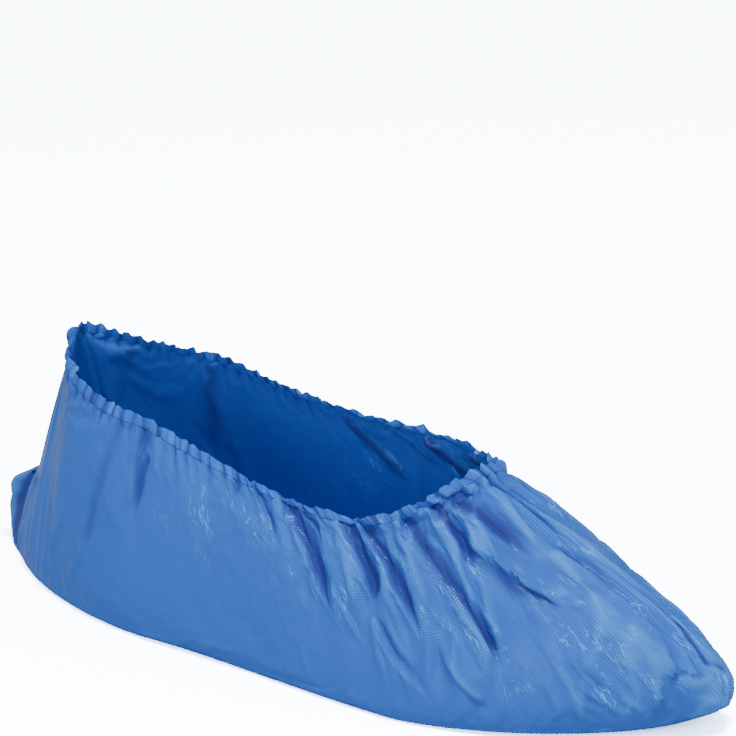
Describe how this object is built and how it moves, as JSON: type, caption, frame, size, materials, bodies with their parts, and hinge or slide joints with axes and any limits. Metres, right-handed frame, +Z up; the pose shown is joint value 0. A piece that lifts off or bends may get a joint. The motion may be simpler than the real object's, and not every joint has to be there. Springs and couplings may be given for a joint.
{
  "type": "ankle-high disposable shoe cover",
  "caption": "Ankle-high disposable shoe cover of thin blue film, draped in folds from a gathered elastic hem down to a flat sole.",
  "frame": {"origin": "middle of the bounding box in plan, on the floor under the sole", "axes": "+X from heel to toe, +Z up, +Y to the wearer's left when they face +X"},
  "size_m": [0.3316, 0.1152, 0.1079],
  "materials": {
    "film": "thin embossed polyethylene film, soft gloss",
    "hem": "the same film, gathered over a flat elastic"
  },
  "bodies": {
    "root": {"film_body": "film", "elastic_hem": "hem"}
  },
  "joints": []
}
